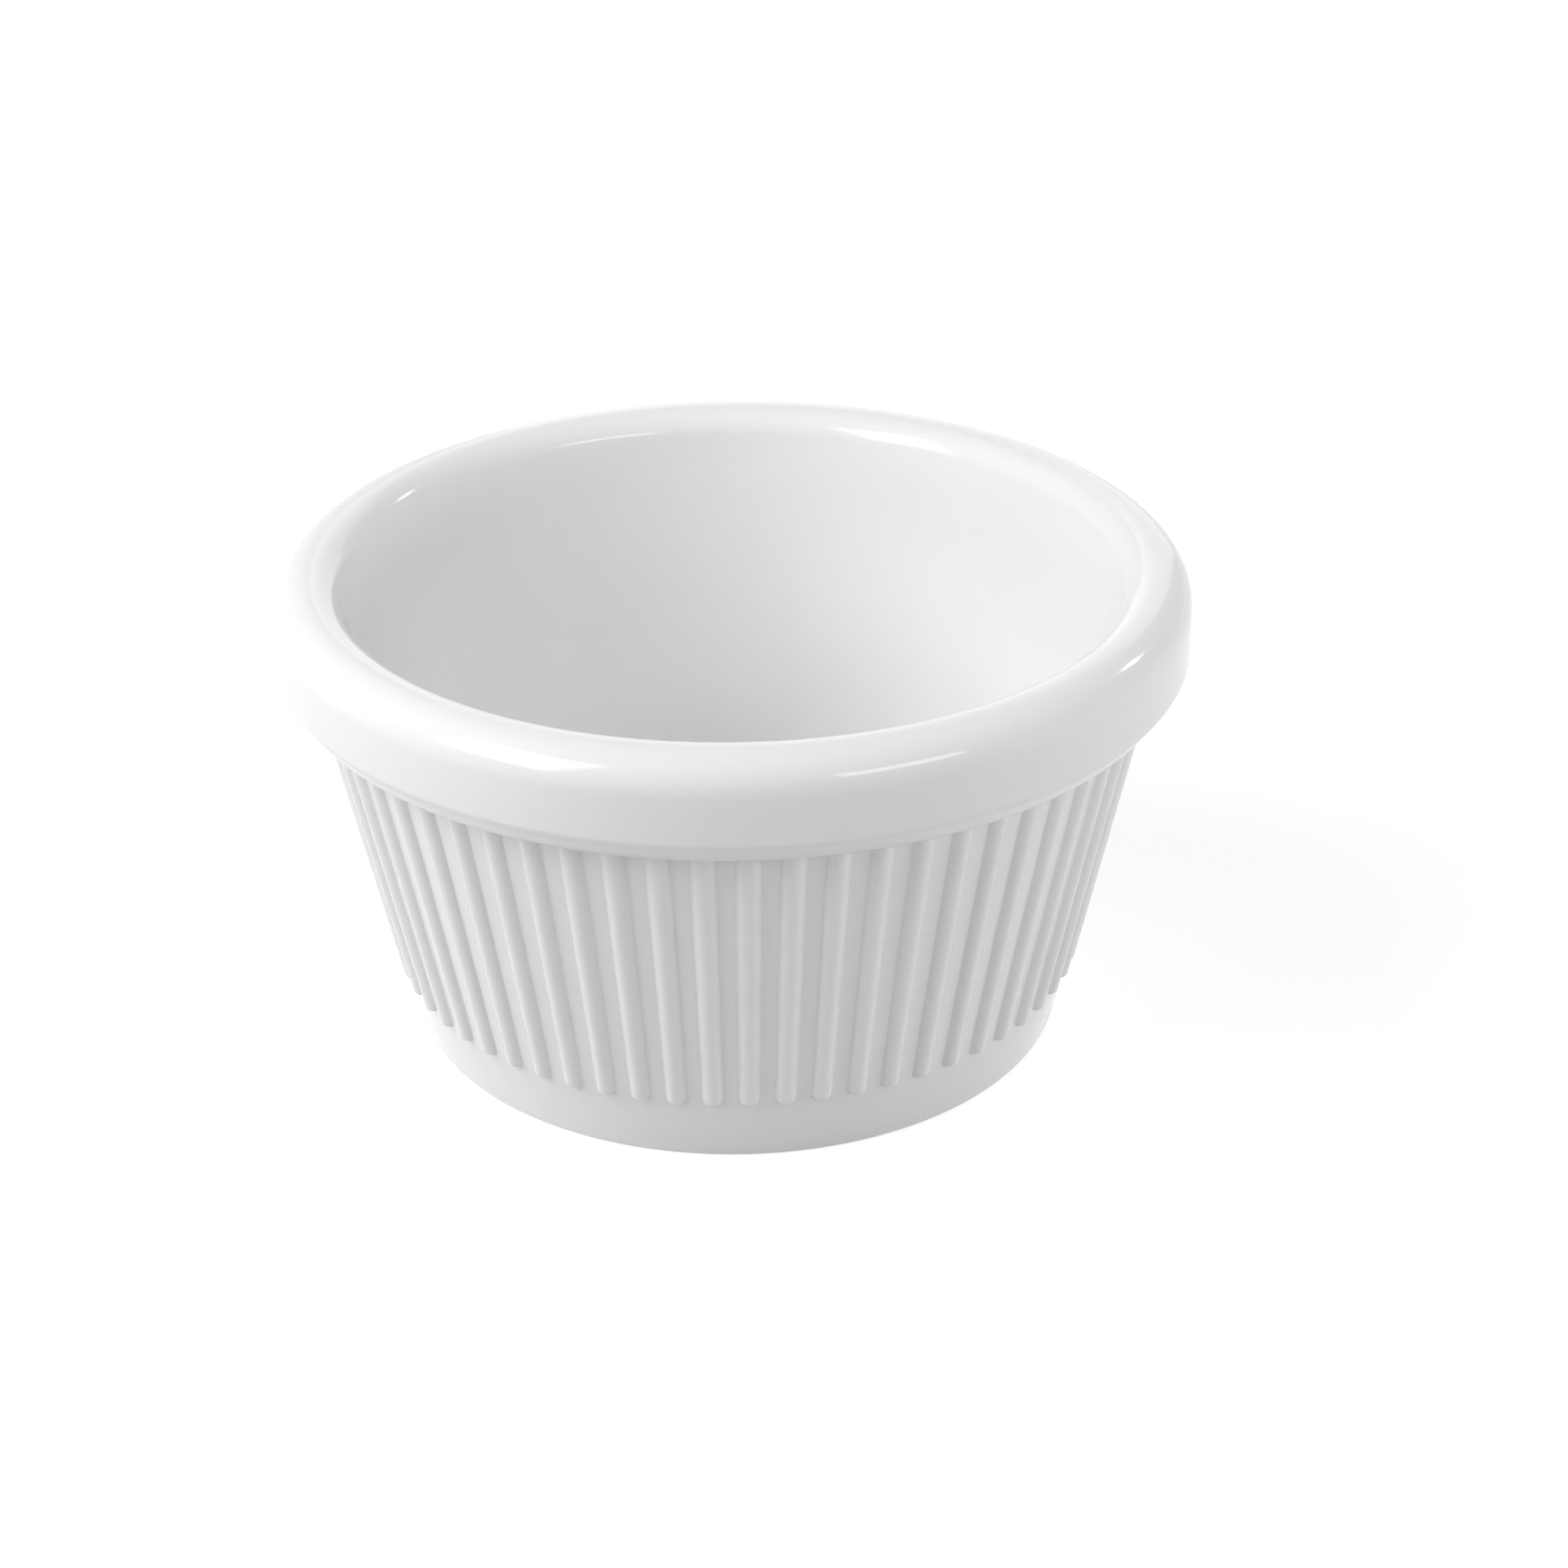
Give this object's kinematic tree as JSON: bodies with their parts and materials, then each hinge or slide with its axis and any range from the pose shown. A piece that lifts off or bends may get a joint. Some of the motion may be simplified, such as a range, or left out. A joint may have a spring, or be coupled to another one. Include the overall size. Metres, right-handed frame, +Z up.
{
  "type": "ramekin",
  "caption": "Small round white ramekin with a smooth tapered bowl, a rolled overhanging rim and fine upright ribs around the outside, standing on a shallow foot ring.",
  "frame": {"origin": "centre of the foot ring's standing face", "axes": "+Z up along the axis of the bowl; X and Y level, with the middle of one rib at +X"},
  "size_m": [0.0826, 0.0826, 0.0445],
  "materials": {
    "melamine": "glossy moulded white"
  },
  "bodies": {
    "root": {"ramekin_body": "melamine"}
  },
  "joints": []
}
